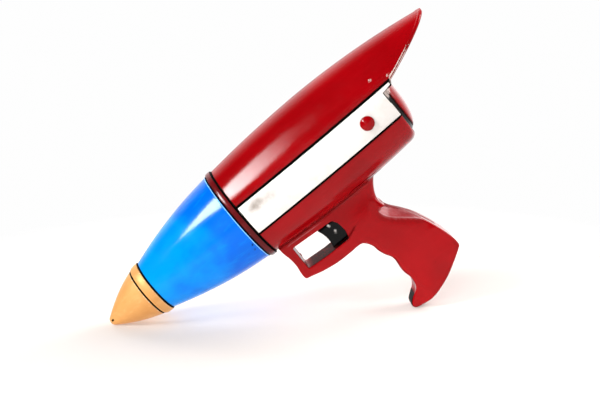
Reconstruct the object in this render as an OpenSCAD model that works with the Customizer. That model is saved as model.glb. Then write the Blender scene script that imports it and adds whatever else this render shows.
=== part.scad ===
// Rocket-shaped toy ray gun: a pressed-tin water pistol. X runs from the muzzle to the tail, Z is up,
// and the origin is the centre of the jet's mouth. The visible left side faces -Y.

/* [Rocket body] */
// Where the rear of the barrel cone meets the band
band_x = 125; // [123:0.5:127]
// Front edge of the two body shells
shell_x = 131.2; // [131:0.1:134]
// Rear edge of the body shells, below the hood
shell_rear_x = 266; // [264:0.5:268]
// Tip of the pointed tail hood
hood_tip_x = 327.3; // [315:0.5:332]
// Largest radius of the body
body_r = 42.1; // [41:0.1:43]
// Where the body is widest
body_peak_x = 212; // [205:1:220]
// Thickness of the pressed sheet
tin_t = 1; // [0.8:0.1:1.2]

/* [Nose and barrel] */
// Length of the pointed nose tip
nose_len = 35.6; // [34:0.1:37]
// Front edge of the barrel cone
barrel_x = 44.5; // [44:0.5:46]
// Outer radius of the nose tip at its rear edge
nose_r = 20.3; // [19.5:0.1:20.6]
// Outer radius of the barrel cone at its rear edge
barrel_r = 38; // [37:0.1:38.3]
// Radius of the jet's bore
jet_bore_r = 0.8; // [0.5:0.1:1]
// Length of the brass jet
jet_len = 22; // [20:1:26]

/* [Side panels] */
// Half height of each side panel
panel_half = 12; // [10:0.5:13]
// Depth of the recess that holds a panel, and the panel's thickness
panel_t = 0.5; // [0.4:0.1:0.6]
// Width of the groove left round each panel
panel_gap = 1.4; // [1:0.1:1.8]

/* [Filler plug] */
// Where the filler sits along the body
filler_x = 243; // [236:1:243]
// Radius of the plug's domed head
plug_head_r = 5.4; // [5:0.1:6]
// Radius of the plug's stem
plug_stem_r = 3.4; // [3:0.1:3.6]

/* [Frame and trigger] */
// Half thickness of the guard and the grip
frame_half = 13; // [12.6:0.1:14]
// Wall of the pressed frame halves
frame_t = 1.2; // [1:0.1:1.4]
// Half width of the trigger
trigger_half = 8.5; // [8:0.1:8.6]
// How far the trigger slides back
trigger_travel = 8; // [6:0.5:8]
// Height of the pump's axis
pump_z = -55.5; // [-55.7:0.1:-55.3]

/* [Water tank] */
// Outer radius of the tank
tank_r = 29; // [27:0.5:30]
// Front end of the tank
tank_x0 = 150; // [148:1:156]
// Rear end of the tank
tank_x1 = 257; // [256:0.5:258]

/* [Hidden] */
$fn = 96;

hair = 0.05;            // gap between pressings that lie against each other
steps = 14;             // straight stretches in each curved outline
body_fall_front = 0.000585;
body_fall_rear = 0.0008;
shoulder_x = 258;       // where the rounded rear shoulder begins
shoulder_r = 36.3;      // its radius at the shells' rear edge
hood_z0 = 12.5;         // height of the hood's rear edge where it leaves the panel
hood_z1 = 31;           // and at its tip
hood_sag = 0.4;         // how far that edge is hollowed
tongue_x = 274;         // rear end of the strip above each panel
tongue_z = 9;           // and its lower edge
dome_x = 263.2;          // the tail dome's base, depth, radius and how square its shoulder is
dome_depth = 12.6;
dome_r = 34;
dome_power = 2.4;
dome_edge_r = 32.3;
ring_tin = 0.8;         // sheet of the two tail pressings

tube_r = 2;             // water tubes, outside and inside
tube_bore_r = 1.25;
spigot_bore_r = 0.7;
tube_z = -34.5;         // height of the long run under the tank
bend_r = 4;             // radius of the tube's bends
riser_x = 142;          // where that run climbs to the axis
valve_x = 207.6;        // the two valves stand side by side here
valve_y = 3.4;
valve_z = -51;          // ledge that each ball rests on
valve_r = 2.3;
ball_r = 1.9;
fitting_z = -45.2;      // lower end of the two fittings
fitting_top = -40.8;
spigot_top = -38.5;
block = [[204, -7, -62.5], [211.3, 7, -42]];

gland_x = 182;          // pump: front of the gland nut, of the barrel, and the barrel's rear
pump_x0 = 184;
pump_x1 = 205.5;
pump_r = 5.5;
pump_bore_r = 4.1;
rod_r = 1.5;
piston_x = 187.5;
piston_len = 5;
piston_r = 4;
fit = 0.05;             // radial clearance of the sliding fits
trigger_z = [-64.4, -46.7];
trigger_rear_x = 187;
trigger_cavity_x = 168.4;
trigger_cavity_r = 7;
spring_r = 3.9;
spring_wire_r = 0.35;
spring_turns = 6;

filler_face_r = 41.7;   // distance of the plug head's underside from the body's axis
hole_r = 4.6;           // hole for the plug in panel and shell
neck_r = 4.5;
neck_end_r = 40;

screw_r = 1.2;
screw_head_r = 2.6;
boss_r = 2.4;
screw_at = [[137.5, -57], [203, -77], [207, -104], [212, -132]];
tab_at = [147, 193, 216];   // tabs that hold the frame in slots in the shells
tab_len = 6;
tab_y = [10.8, 12.2];

// Side view of the guard and grip, clockwise from the front of the guard. It runs up into the body,
// which cuts it off.
frame_path = [[133.2, -35], [132.7, -39], [133.1, -43.5], [134, -48], [134.4, -55], [133.4, -62],
    [133.2, -66], [134.2, -68.2], [138.5, -69.5], [148, -72.2], [160, -74.2], [171, -74.6],
    [181, -74.7], [184.6, -77], [187.4, -82], [188.3, -87.5], [190.2, -93.2], [193, -98.5],
    [193.5, -103.5], [192.7, -109], [192.8, -114], [194, -120], [193.2, -126.5], [190.6, -131],
    [186, -134], [182, -137], [180.7, -140.5], [182.8, -143], [188, -144.2], [196, -144.2],
    [206, -142], [217, -137.8], [227, -132.3], [235.6, -127], [238.1, -124.5], [238.2, -119],
    [236.7, -111.2], [234.6, -104], [232.2, -97.1], [229.5, -90.6], [226.7, -84.4], [223.4, -78.6],
    [219.9, -73.1], [216.4, -67.8], [214.2, -63.2], [213.1, -57.5], [215, -52], [220, -44.5],
    [229, -35], [226, -33], [200, -32.5], [165, -32.5], [140, -33]];
// The finger window in it
window_path = [[141, -43.2], [165, -45.2], [176.4, -46.2], [179, -51], [179.6, -58], [178.2, -65.1],
    [158, -64.7], [140.4, -63.1]];
trigger_face = [[163, -46.7], [164.6, -51.5], [165.2, -56.5], [165, -61], [164.2, -64.4]];

tin = "#c9c6bd";
red = "#b3121d";
dark_red = "#5e1416";
blue = "#1384e0";
gold = "#e2a45c";
ivory = "#f1eee6";
black = "#141414";
rubber = "#26211f";
brass = "#c09c4a";
vinyl = "#d9d4c4";

function unit(v) = v / norm(v);

// Points of a smooth closed curve through the points p
function smooth(p, n) = let (m = len(p)) [for (i = [0:m - 1], k = [0:n - 1])
    let (a = p[(i + m - 1) % m], b = p[i], c = p[(i + 1) % m], d = p[(i + 2) % m], t = k / n)
    (2 * b + (c - a) * t + (2 * a - 5 * b + 4 * c - d) * t * t
        + (3 * b - a - 3 * c + d) * t * t * t) / 2];

// The closed outline p moved inwards by d, for points that run anticlockwise
function inset(p, d) = let (m = len(p)) [for (i = [0:m - 1])
    let (u = unit(p[i] - p[(i + m - 1) % m]), v = unit(p[(i + 1) % m] - p[i]),
        side = unit([-u.y - v.y, u.x + v.x]))
    p[i] + side * d / max(0.5, side * [-u.y, u.x])];

frame_outline = smooth(frame_path, 3);
frame_inner = inset(frame_outline, frame_t);
window_rim = inset([for (i = [len(window_path) - 1:-1:0]) window_path[i]], -frame_t);

// Outer radius of each skin at a place x along the rocket
function nose_at(x) = let (d = nose_len - x) nose_r - 0.2875 * d - 0.0059 * d * d;
function barrel_at(x) = let (d = band_x - x) barrel_r - 0.08 * d - 0.001565 * d * d;
function body_at(x) = body_r
    - (x < body_peak_x ? body_fall_front : body_fall_rear) * pow(x - body_peak_x, 2);
function shoulder_at(x) = x < shoulder_x ? body_at(x)
    : let (s = (x - shoulder_x) / (shell_rear_x - shoulder_x))
        shoulder_r + (body_at(shoulder_x) - shoulder_r) * sqrt(1 - s * s * 0.98);
function dome_at(r) = dome_x + dome_depth * pow(1 - pow(r / dome_r, dome_power), 1 / dome_power);
function hood_edge(s) = [shell_rear_x + 10.5 + (hood_tip_x - shell_rear_x - 10.5) * s,
    hood_z0 + (hood_z1 - hood_z0) * s - 4 * hood_sag * s * (1 - s)];

function along(x0, x1, n) = [for (i = [0:n]) x0 + (x1 - x0) * i / n];
function backwards(list) = [for (i = [len(list) - 1:-1:0]) list[i]];

// A profile of [radius, x] points, turned about the rocket's axis
module turned(profile) {
    rotate([0, 90, 0]) rotate_extrude() polygon(profile);
}

// A ring from x0 to x1 between the radii r0 and r1
module ring(x0, x1, r0, r1) {
    turned([[r0, x0], [r1, x0], [r1, x1], [r0, x1]]);
}

// A rod along X
module rod(x0, x1, r, y = 0, z = 0) {
    translate([x0, y, z]) rotate([0, 90, 0]) cylinder(h = x1 - x0, r = r);
}

// An upright rod
module post(x, y, z0, z1, r) {
    translate([x, y, z0]) cylinder(h = z1 - z0, r = r);
}

// A plate cut to a side-view outline, from y0 to y1
module plate(outline, y0, y1) {
    translate([0, y1, 0]) rotate([90, 0, 0]) linear_extrude(y1 - y0) polygon(outline);
}

// The same on one side, with y measured outwards from the middle
module side_plate(side, outline, y0, y1) {
    plate(outline, side < 0 ? -y1 : y0, side < 0 ? -y0 : y1);
}

// A box between two corners
module block_between(a, b) {
    translate(a) cube(b - a);
}

module side_block(side, a, b) {
    block_between([a.x, side < 0 ? -b.y : a.y, a.z], [b.x, side < 0 ? -a.y : b.y, b.z]);
}

// The walls between rings of points, each ring with the same number of sides, and the two end faces
function ring_faces(rings, sides) = concat(
    [for (i = [0:rings - 2], k = [0:sides - 1]) let (n = (k + 1) % sides)
        [i * sides + k, i * sides + n, (i + 1) * sides + n, (i + 1) * sides + k]],
    [[for (k = [sides - 1:-1:0]) k], [for (k = [0:sides - 1]) (rings - 1) * sides + k]]);

// A rod of radius r swept along the points p, none of which runs along Y. A bore's flat sides lie
// just outside r, a rod's corners on it.
module sweep(p, r, bore = false, sides = 12) {
    m = len(p);
    corner_r = bore ? (r + hair / 2) / cos(180 / sides) : r;
    polyhedron([for (i = [0:m - 1], k = [0:sides - 1])
        let (t = unit(p[min(i + 1, m - 1)] - p[max(i - 1, 0)]), b = unit(cross(t, [0, 1, 0])),
            n = cross(b, t), a = 360 * k / sides)
        p[i] + corner_r * (cos(a) * n - sin(a) * b)], ring_faces(m, sides));
}

// Everything on one side of the rocket: side is -1 for the left, which shows, and 1 for the right
module half_space(side) {
    block_between([-10, side < 0 ? -60 : hair, -160], [340, side < 0 ? -hair : 60, 60]);
}

// ---- nose and barrel ----

module nose_tip() {
    outside = [for (x = along(0.4, nose_len, steps)) [nose_at(x), x]];
    inside = [for (x = along(nose_len - 1, 9, steps)) [nose_at(x) - tin_t, x]];
    color(gold) turned(concat([[1.7, 0.4]], outside, [[18.2, nose_len], [18.2, nose_len - 1]],
        inside, [[1.7, 6]]));
}

module nozzle_jet() {
    color(brass) turned([[jet_bore_r, 0], [1.7, 0], [1.7, 6], [2.6, 9.4], [2.6, 14],
        [tube_bore_r, 14], [tube_bore_r, jet_len], [jet_bore_r, jet_len]]);
}

module nose_ring() {
    front = nose_len + 0.9;
    rear = barrel_x - 0.4;
    color(gold) turned([[17, 33], [18.1, 33], [18.1, front], [nose_r + 0.5, front],
        [nose_r + 1.3, front + 1.5], [nose_r + 1.8, rear - 1], [nose_r + 1.4, rear], [18.1, rear],
        [18.1, rear + 3.5], [17, rear + 3.5]]);
}

module barrel_cone() {
    outside = [for (x = along(barrel_x, band_x, steps)) [barrel_at(x), x]];
    inside = [for (x = along(band_x, barrel_x + 1, steps)) [barrel_at(x) - tin_t, x]];
    color(blue) turned(concat([[18.2, barrel_x]], outside, inside, [[18.2, barrel_x + 1]]));
}

// A star-shaped washer that keeps the water tube on the axis
module tube_guide() {
    guide_x = 84;
    guide_r = barrel_at(guide_x) - tin_t - 0.1;
    color(tin) difference() {
        rod(guide_x, guide_x + 1, guide_r);
        rod(guide_x - 1, guide_x + 2, tube_r);
        for (a = [0:60:300]) rotate([a, 0, 0]) rod(guide_x - 1, guide_x + 2, 6.5, 0, 19);
    }
}

module front_band() {
    rear = shell_x - 0.4;
    color(dark_red) turned([[35, 118], [36, 118], [36, band_x + 0.4], [38.2, band_x + 0.4],
        [39.3, band_x + 1.2], [39.5, (band_x + rear) / 2], [39.3, rear - 0.8], [38.2, rear],
        [35, rear]]);
}

module front_bulkhead() {
    disc_r = body_at(shell_x) - tin_t - hair;
    color(tin) difference() {
        union() {
            rod(133, 134, disc_r);
            ring(134, 137, disc_r - 1, disc_r);
        }
        rod(132, 138, tube_r);
        for (a = [0:72:288]) rotate([a, 0, 0]) rod(132, 138, 6, 0, 22);
    }
}

// ---- body shells ----

// Side view of all that the shells cover
module shell_outline() {
    edge = [for (s = along(0, 1, 8)) hood_edge(s)];
    plate(concat([[shell_x, -50], [shell_rear_x, -50], [shell_rear_x, tongue_z],
        [tongue_x, tongue_z], [tongue_x, hood_z0]], edge, [[hood_tip_x, 50], [shell_x, 50]]), -50, 50);
}

// The skin between two depths below the body's surface. With shoulder it closes in at the rear.
module body_skin(depth0, depth1, x1, shoulder = false) {
    xs = along(shell_x, x1, 2 * steps);
    turned(concat([for (x = xs) [(shoulder ? shoulder_at(x) : body_at(x)) - depth0, x]],
        [for (x = backwards(xs)) [(shoulder ? shoulder_at(x) : body_at(x)) - depth1, x]]));
}

// Side view of a panel, grown by g
function panel_outline(g) = [[shell_x + 0.6 - g, -panel_half - g], [shell_rear_x - 0.3, -panel_half - g],
    [shell_rear_x - 0.3, tongue_z - 0.5 - g / 2], [tongue_x, tongue_z + 0.8 - g / 2],
    [tongue_x, panel_half + 0.2 * g], [shell_rear_x, panel_half + g], [shell_x + 0.6 - g, panel_half + g]];

module shell_half(side) {
    difference() {
        intersection() {
            union() {
                intersection() {
                    body_skin(0, tin_t, shell_rear_x, true);
                    block_between([shell_x, -60, -60], [shell_rear_x, 60, tongue_z]);
                }
                intersection() {
                    body_skin(0, tin_t, hood_tip_x);
                    block_between([shell_x, -60, tongue_z], [hood_tip_x, 60, 60]);
                }
            }
            shell_outline();
            half_space(side);
        }
        // recess for the panel
        intersection() {
            body_skin(-2, panel_t, tongue_x + 2);
            plate(panel_outline(panel_gap), side < 0 ? -60 : 30, side < 0 ? -30 : 60);
        }
        // filler hole
        if (side < 0) translate([filler_x, -60, 0]) rotate([-90, 0, 0]) cylinder(h = 30, r = hole_r);
        // way through for the water tubes, and slots for the frame's tabs
        block_between([valve_x - 4.5, -7, -50], [valve_x + 4.5, 7, -30]);
        for (x = tab_at) side_block(side, [x - hair, tab_y[0] - hair, -50],
            [x + tab_len + hair, tab_y[1] + hair, -30]);
    }
}

module side_panel(side) {
    color(ivory) difference() {
        intersection() {
            body_skin(-0.1, panel_t - hair, tongue_x + 2);
            plate(panel_outline(0), side < 0 ? -60 : 30, side < 0 ? -30 : 60);
        }
        if (side < 0) translate([filler_x, -60, 0]) rotate([-90, 0, 0]) cylinder(h = 30, r = hole_r);
    }
}

module shell_left() { color(red) shell_half(-1); }
module shell_right() { color(red) shell_half(1); }
module side_panel_left() { side_panel(-1); }
module side_panel_right() { side_panel(1); }

// The black hollow between the shells and the dome
module tail_ring() {
    r = shoulder_r - tin_t - 0.1;
    color(black) turned([[r - ring_tin, 255], [r, 255], [r, shell_rear_x], [34, 266.2],
        [dome_edge_r, dome_at(dome_edge_r) - 0.2], [dome_edge_r - ring_tin, dome_at(dome_edge_r) - 0.2],
        [33.1, 265.8], [r - ring_tin, shell_rear_x - 0.3]]);
}

module tail_cap() {
    rs = along(0, dome_edge_r, 2 * steps);
    color(red) turned(concat([for (r = rs) [r, dome_at(r)]],
        [[dome_edge_r - ring_tin - hair, dome_at(dome_edge_r) - 0.1],
        [dome_edge_r - ring_tin - hair, 262], [dome_edge_r - 2 * ring_tin, 262]],
        [for (r = backwards(along(0, dome_edge_r - 2 * ring_tin, 2 * steps)))
            [r, dome_at(r) - ring_tin]]));
}

// ---- tank ----

// The tank's outline, with r its radius and e the depth of its rounded ends
function tank_profile(r, x0, x1, e0, e1) = concat(
    [for (a = along(0, 90, 8)) [r * sin(a), x0 + e0 * (1 - cos(a))]],
    [for (a = along(90, 0, 8)) [r * sin(a), x1 - e1 * (1 - cos(a))]]);

module filler_axis(y0, y1, r) {
    translate([filler_x, y0, 0]) rotate([-90, 0, 0]) cylinder(h = y1 - y0, r = r);
}

module water_tank() {
    color(tin) difference() {
        union() {
            turned(tank_profile(tank_r, tank_x0, tank_x1, 14, 8));
            filler_axis(-neck_end_r, -20, neck_r);
            post(valve_x, -valve_y, -33, -20, tube_bore_r);
        }
        turned(tank_profile(tank_r - tin_t, tank_x0 + tin_t, tank_x1 - tin_t, 13, 7));
        filler_axis(-neck_end_r - 1, -20, plug_stem_r + fit);
        post(valve_x, -valve_y, -34, -20, spigot_bore_r);
    }
}

// A ring between the tank and the shells, with a hole for the water tube
module tank_saddle(x) {
    color(tin) difference() {
        rod(x, x + 1.2, body_at(x) - tin_t - 0.2);
        rod(x - 1, x + 3, tank_r);
        rod(x - 1, x + 3, tube_r, valve_y, tube_z);
        for (a = [30:60:330]) rotate([a, 0, 0]) rod(x - 1, x + 3, 3.2, 0, 34.3);
    }
}

module tank_saddle_front() { tank_saddle(168); }
module tank_saddle_rear() { tank_saddle(232); }

module filler_plug() {
    head = [for (a = along(0, 90, 8)) [plug_head_r * cos(a), 0.8 + 3 * sin(a)]];
    color(red) union() {
        translate([filler_x, -filler_face_r, 0]) rotate([90, 0, 0]) rotate_extrude()
            polygon(concat([[0, 0], [plug_head_r, 0]], head));
        filler_axis(-filler_face_r, -31, plug_stem_r);
    }
}

module plug_seal() {
    color(rubber) difference() {
        filler_axis(-filler_face_r, -neck_end_r - 0.3, hole_r - 0.3);
        filler_axis(-filler_face_r - 1, -30, plug_stem_r);
    }
}

// ---- frame ----

// The pressed half: a dish with a raised rim round the window
module frame_dish(side) {
    inner_half = frame_half - frame_t;
    difference() {
        side_plate(side, frame_outline, hair, frame_half);
        side_plate(side, frame_inner, -1, inner_half);
        plate(window_path, -20, 20);
        frame_bed();
        for (p = screw_at) translate([p.x, 0, p.y]) {
            if (side > 0) rotate([-90, 0, 0]) cylinder(h = 20, r = screw_head_r);
        }
    }
    difference() {
        side_plate(side, window_rim, hair, inner_half + 0.4);
        plate(window_path, -20, 20);
        // the trigger's way through the rear of the window
        block_between([175, -trigger_half - 0.3, trigger_z[0] - 0.4],
            [trigger_rear_x + trigger_travel + 2, trigger_half + 0.3, trigger_z[1] + 0.4]);
        if (side > 0) for (p = screw_at) translate([p.x, frame_half - 1.6, p.y])
            rotate([-90, 0, 0]) cylinder(h = 5, r = screw_head_r);
    }
}

// The body lies in the top of the frame
module frame_bed() {
    turned(concat([[0, 120]], [for (x = along(120, 250, 2 * steps)) [body_at(x) + hair, x]],
        [[0, 250]]));
}

// Posts for the screws: blind on the left, open on the right, where the heads sit
module screw_posts(side) {
    for (p = screw_at) translate([p.x, 0, p.y]) rotate([side < 0 ? 90 : -90, 0, 0]) difference() {
        if (side < 0) translate([0, 0, hair]) cylinder(h = frame_half - frame_t, r = boss_r);
        if (side > 0) union() {
            translate([0, 0, hair]) cylinder(h = frame_half - frame_t, r = boss_r);
            translate([0, 0, frame_half - frame_t - 2]) cylinder(h = 2.8, r = screw_head_r + 1);
        }
        translate([0, 0, -1]) cylinder(h = side < 0 ? 9 : 20, r = screw_r);
        if (side > 0) translate([0, 0, frame_half - 1.6]) cylinder(h = 5, r = screw_head_r);
    }
}

module frame_side(side) {
    color(red) union() {
        frame_dish(side);
        screw_posts(side);
        // rib that guides the trigger
        side_block(side, [183, trigger_half + 0.3, -63], [188, frame_half - 1, -48]);
        // tabs that reach through the shells
        for (x = tab_at) side_block(side, [x, tab_y[0], -42], [x + tab_len, tab_y[1], -36.5]);
    }
}

module frame_left() { frame_side(-1); }
module frame_right() { frame_side(1); }

module frame_screws() {
    color(tin) for (p = screw_at) translate([p.x, 0, p.y]) difference() {
        union() {
            translate([0, -8, 0]) rotate([-90, 0, 0]) cylinder(h = 8 + frame_half - 1, r = screw_r);
            translate([0, frame_half - 1.6, 0]) rotate([-90, 0, 0])
                cylinder(h = 1.3, r = screw_head_r - 0.1);
        }
        block_between([-0.35, frame_half - 0.9, -3], [0.35, frame_half + 1, 3]);
    }
}

// ---- trigger and pump ----

module trigger() {
    color(black) difference() {
        plate(concat([[trigger_rear_x, trigger_z[1]]], trigger_face, [[trigger_rear_x, trigger_z[0]]]),
            -trigger_half, trigger_half);
        rod(trigger_cavity_x, trigger_rear_x + 1, trigger_cavity_r, 0, pump_z);
        rod(trigger_cavity_x - 1.6, trigger_rear_x, rod_r, 0, pump_z);
    }
}

module on_pump_axis() {
    translate([0, 0, pump_z]) children();
}

module pump_piston() {
    mid = piston_x + piston_len / 2;
    color(brass) on_pump_axis() difference() {
        union() {
            rod(trigger_cavity_x - 1.6, piston_x + 1, rod_r);
            rod(piston_x, piston_x + piston_len, piston_r);
        }
        ring(mid - 0.65, mid + 0.65, 2.85, piston_r + 1);
    }
}

module piston_ring() {
    mid = piston_x + piston_len / 2;
    color(rubber) on_pump_axis() translate([mid, 0, 0]) rotate([0, 90, 0]) rotate_extrude()
        translate([3.45, 0]) circle(r = 0.6, $fn = 32);
}

// A coil spring of eight-sided wire round the piston rod
module return_spring() {
    per_turn = 20;
    sides = 8;
    x0 = trigger_cavity_x + spring_wire_r + 0.1;
    x1 = gland_x - spring_wire_r - 0.1;
    rings = spring_turns * per_turn + 1;
    points = [for (i = [0:rings - 1], k = [0:sides - 1])
        let (a = 360 * i / per_turn, b = 360 * k / sides, r = spring_r + spring_wire_r * cos(b))
        [x0 + (x1 - x0) * i / (rings - 1) + spring_wire_r * sin(b), r * cos(a), pump_z + r * sin(a)]];
    color(tin) polyhedron(points, ring_faces(rings, sides));
}

module gland_nut() {
    color(brass) on_pump_axis() difference() {
        rod(gland_x, pump_x0 + 2.5, 6.2);
        rod(pump_x0, pump_x0 + 3, pump_r);
        rod(gland_x - 1, pump_x0 + 1, rod_r + fit);
    }
}

module pump_barrel() {
    color(brass) on_pump_axis() ring(pump_x0, pump_x1, pump_bore_r, pump_r);
}

module valve_block() {
    color(black) difference() {
        block_between(block[0], block[1]);
        rod(block[0].x - 1, pump_x1, pump_r, 0, pump_z);
        rod(pump_x1 - 1, valve_x, 1.5, 0, pump_z);
        translate([valve_x, -valve_y, pump_z]) rotate([-90, 0, 0]) cylinder(h = 2 * valve_y, r = 1);
        for (y = [-valve_y, valve_y]) {
            post(valve_x, y, pump_z, valve_z + 1, 1);
            post(valve_x, y, valve_z, block[1].z + 1, valve_r);
        }
    }
}

module valve_ball(y) {
    color("#b9bcc0") translate([valve_x, y, valve_z + ball_r + fit]) sphere(r = ball_r);
}

module inlet_ball() { valve_ball(-valve_y); }
module outlet_ball() { valve_ball(valve_y); }

module fitting(y) {
    color(brass) difference() {
        union() {
            post(valve_x, y, fitting_z, block[1].z, valve_r);
            post(valve_x, y, block[1].z, fitting_top, 3);
            post(valve_x, y, fitting_top - 0.1, spigot_top, tube_bore_r);
        }
        post(valve_x, y, fitting_z - 1, spigot_top + 1, spigot_bore_r);
    }
}

module inlet_fitting() { fitting(-valve_y); }
module outlet_fitting() { fitting(valve_y); }

module suction_tube() {
    color(vinyl) difference() {
        post(valve_x, -valve_y, fitting_top, -30, tube_r);
        post(valve_x, -valve_y, fitting_top - 1, -29, tube_bore_r);
    }
}

function bend(x, z, a0, a1) = [for (a = along(a0, a1, 5)) [x + bend_r * cos(a), z + bend_r * sin(a)]];

// The route: up from the valve, forward under the tank, up to the axis and forward to the jet.
// All but its first bend lies in one plane through the rocket's axis.
module delivery_tube() {
    run = norm([valve_y, tube_z]);
    first = [for (q = bend(valve_x - bend_r, tube_z - bend_r, 0, 90)) [q.x, valve_y, q.y]];
    rest = [for (q = concat(bend(riser_x + bend_r, bend_r - run, 270, 180),
        bend(riser_x - bend_r, -bend_r, 0, 90))) [q.x, -q.y * valve_y / run, -q.y * tube_z / run]];
    low = [valve_x, valve_y, fitting_top];
    color(vinyl) difference() {
        sweep(concat([low], first, rest, [[14, 0, 0]]), tube_r);
        sweep(concat([low - [0, 0, 1]], first, rest, [[13, 0, 0]]), tube_bore_r, true);
    }
}

nose_tip();
nozzle_jet();
nose_ring();
barrel_cone();
tube_guide();
front_band();
front_bulkhead();
shell_left();
shell_right();
side_panel_left();
side_panel_right();
tail_ring();
tail_cap();
water_tank();
tank_saddle_front();
tank_saddle_rear();
filler_plug();
plug_seal();
frame_left();
frame_right();
frame_screws();
trigger();
pump_piston();
piston_ring();
return_spring();
gland_nut();
pump_barrel();
valve_block();
inlet_ball();
outlet_ball();
inlet_fitting();
outlet_fitting();
suction_tube();
delivery_tube();
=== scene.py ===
"""A pressed-tin toy ray gun: the looks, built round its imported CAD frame.

Lengths are millimetres in the CAD frame (X from muzzle to tail, -Y the left side, Z up) and turn
into metres where a mesh, a light or the camera is made.
"""

from math import acos, ceil, cos, dist, exp, hypot, pi, radians, sin, sqrt

import bmesh
import bpy
import numpy as np
from mathutils import Matrix, Vector, noise
from mathutils.geometry import delaunay_2d_cdt


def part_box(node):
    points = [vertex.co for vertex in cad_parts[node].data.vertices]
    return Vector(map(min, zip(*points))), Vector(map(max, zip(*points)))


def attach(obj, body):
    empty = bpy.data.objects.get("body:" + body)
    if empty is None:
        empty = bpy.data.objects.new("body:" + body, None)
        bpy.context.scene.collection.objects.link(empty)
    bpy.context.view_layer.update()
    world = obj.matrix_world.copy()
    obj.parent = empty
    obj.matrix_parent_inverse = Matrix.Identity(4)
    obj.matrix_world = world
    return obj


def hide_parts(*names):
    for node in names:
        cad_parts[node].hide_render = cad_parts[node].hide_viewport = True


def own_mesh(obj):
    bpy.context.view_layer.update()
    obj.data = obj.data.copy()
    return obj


MM = 0.001

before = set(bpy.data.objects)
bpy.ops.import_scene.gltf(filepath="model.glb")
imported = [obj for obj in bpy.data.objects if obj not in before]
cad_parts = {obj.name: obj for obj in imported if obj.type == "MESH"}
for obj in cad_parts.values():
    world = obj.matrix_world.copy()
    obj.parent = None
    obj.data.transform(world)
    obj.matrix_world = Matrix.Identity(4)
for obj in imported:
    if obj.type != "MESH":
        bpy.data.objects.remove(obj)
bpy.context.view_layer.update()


# ---- sizes, from the frame


def corners(node):
    low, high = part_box(node)
    return low / MM, high / MM


NOSE_LEN, _, NOSE_R = corners("nose_tip")[1]
JET_R = 1.7
COLLAR_R = 18.2  # hole in the rear of the nose and in the front of the cone
RING_X1 = corners("nose_ring")[1].x - 3.5
BARREL_X0 = corners("barrel_cone")[0].x
BARREL_X1, _, BARREL_R = corners("barrel_cone")[1]
BAND_X1, _, BAND_R = corners("front_band")[1]
SHELL_X0 = corners("shell_left")[0].x
HOOD_TIP_X = corners("shell_left")[1].x
BODY_R = -corners("shell_left")[0].z
PANEL_X0 = corners("side_panel_left")[0].x
TONGUE_X, _, PANEL_HALF = corners("side_panel_left")[1]
FRAME_HALF = corners("frame_right")[1].y
PLUG_LOW, PLUG_HIGH = corners("filler_plug")
PLUG_X = ((PLUG_LOW + PLUG_HIGH) / 2).x
PLUG_R = (PLUG_HIGH.x - PLUG_LOW.x) / 2
PLUG_HOLE_R = 4.6
TRIGGER_LOW, TRIGGER_HIGH = corners("trigger")
SPRING_LOW, SPRING_HIGH = corners("return_spring")

TIN = 1.0  # thickness of the pressed sheet
HAIR = 0.05  # gap left at a seam
PANEL_T = 0.5  # depth of the recess for each side panel
PANEL_GAP = 1.4  # groove left round it
PANEL_X1 = TONGUE_X - 8.3  # rear edge of the panel, below its tongue
SHELL_X1 = TONGUE_X - 8  # rear edge of the shells, below the hood
SHOULDER_X = SHELL_X1 - 8
SHOULDER_R = 36.3
WIDEST_X = 212  # where the body is widest
NARROWS, REAR_NARROWS = 0.000585, 0.0008  # how fast it narrows in front of that and behind
TONGUE_Z = 9
DOME_X, DOME_DEPTH, DOME_R, DOME_POWER, DOME_EDGE_R = 263.2, 12.6, 34, 2.4, 32.3
HOOD_Z0, HOOD_Z1, HOOD_SAG = 12.5, 31, 0.4
SIDES = 224  # sides of a turned piece

# Side view of the guard and grip, clockwise from the front of the guard: x, z and how far the edge
# between the side and the rim is rounded there
FRAME_PATH = [(133.2, -35, 1.5), (132.7, -39, 1.5), (133.1, -43.5, 1.6), (134, -48, 1.6),
    (134.4, -55, 1.6), (133.4, -62, 1.6), (133.2, -66, 1.6), (134.2, -68.2, 1.6), (138.5, -69.5, 1.8),
    (148, -72.2, 1.8), (160, -74.2, 1.8), (171, -74.6, 1.8), (181, -74.7, 2.2), (184.6, -77, 2.8),
    (187.4, -82, 3.2), (188.3, -87.5, 3.4), (190.2, -93.2, 3.4), (193, -98.5, 3.4),
    (193.5, -103.5, 3.4), (192.7, -109, 3.4), (192.8, -114, 3.2), (194, -120, 2.6),
    (193.2, -126.5, 1.8), (190.6, -131, 1.5), (186, -134, 1.5), (182, -137, 1.6),
    (180.7, -140.5, 2), (182.8, -143, 2.2), (188, -144.2, 2.4), (196, -144.2, 2.4), (206, -142, 2.4),
    (217, -137.8, 2.4), (227, -132.3, 2.4), (235.6, -127, 2.8), (238.1, -124.5, 2.8), (238.2, -119, 2.6),
    (236.7, -111.2, 1.8), (234.6, -104, 1.6), (232.2, -97.1, 1.5), (229.5, -90.6, 1.4), (226.7, -84.4, 1.6),
    (223.4, -78.6, 1.5), (219.9, -73.1, 1.5), (216.4, -67.8, 2), (214.2, -63.2, 2),
    (213.1, -57.5, 4.5), (215, -52, 8), (220, -44.5, 8), (229, -35, 8), (226, -33, 2),
    (200, -32.5, 2), (165, -32.5, 2), (140, -33, 2)]
# The finger window in it
WINDOW_PATH = [(141, -43.2), (165, -45.2), (176.4, -46.2), (179, -51), (179.6, -58), (178.2, -65.1),
    (158, -64.7), (140.4, -63.1)]
WINDOW_LIP = 0.8  # radius of its rounded edge
TRIGGER_FACE = [(163, -46.7), (164.6, -51.5), (165.2, -56.5), (165, -61), (164.2, -64.4)]
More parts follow.
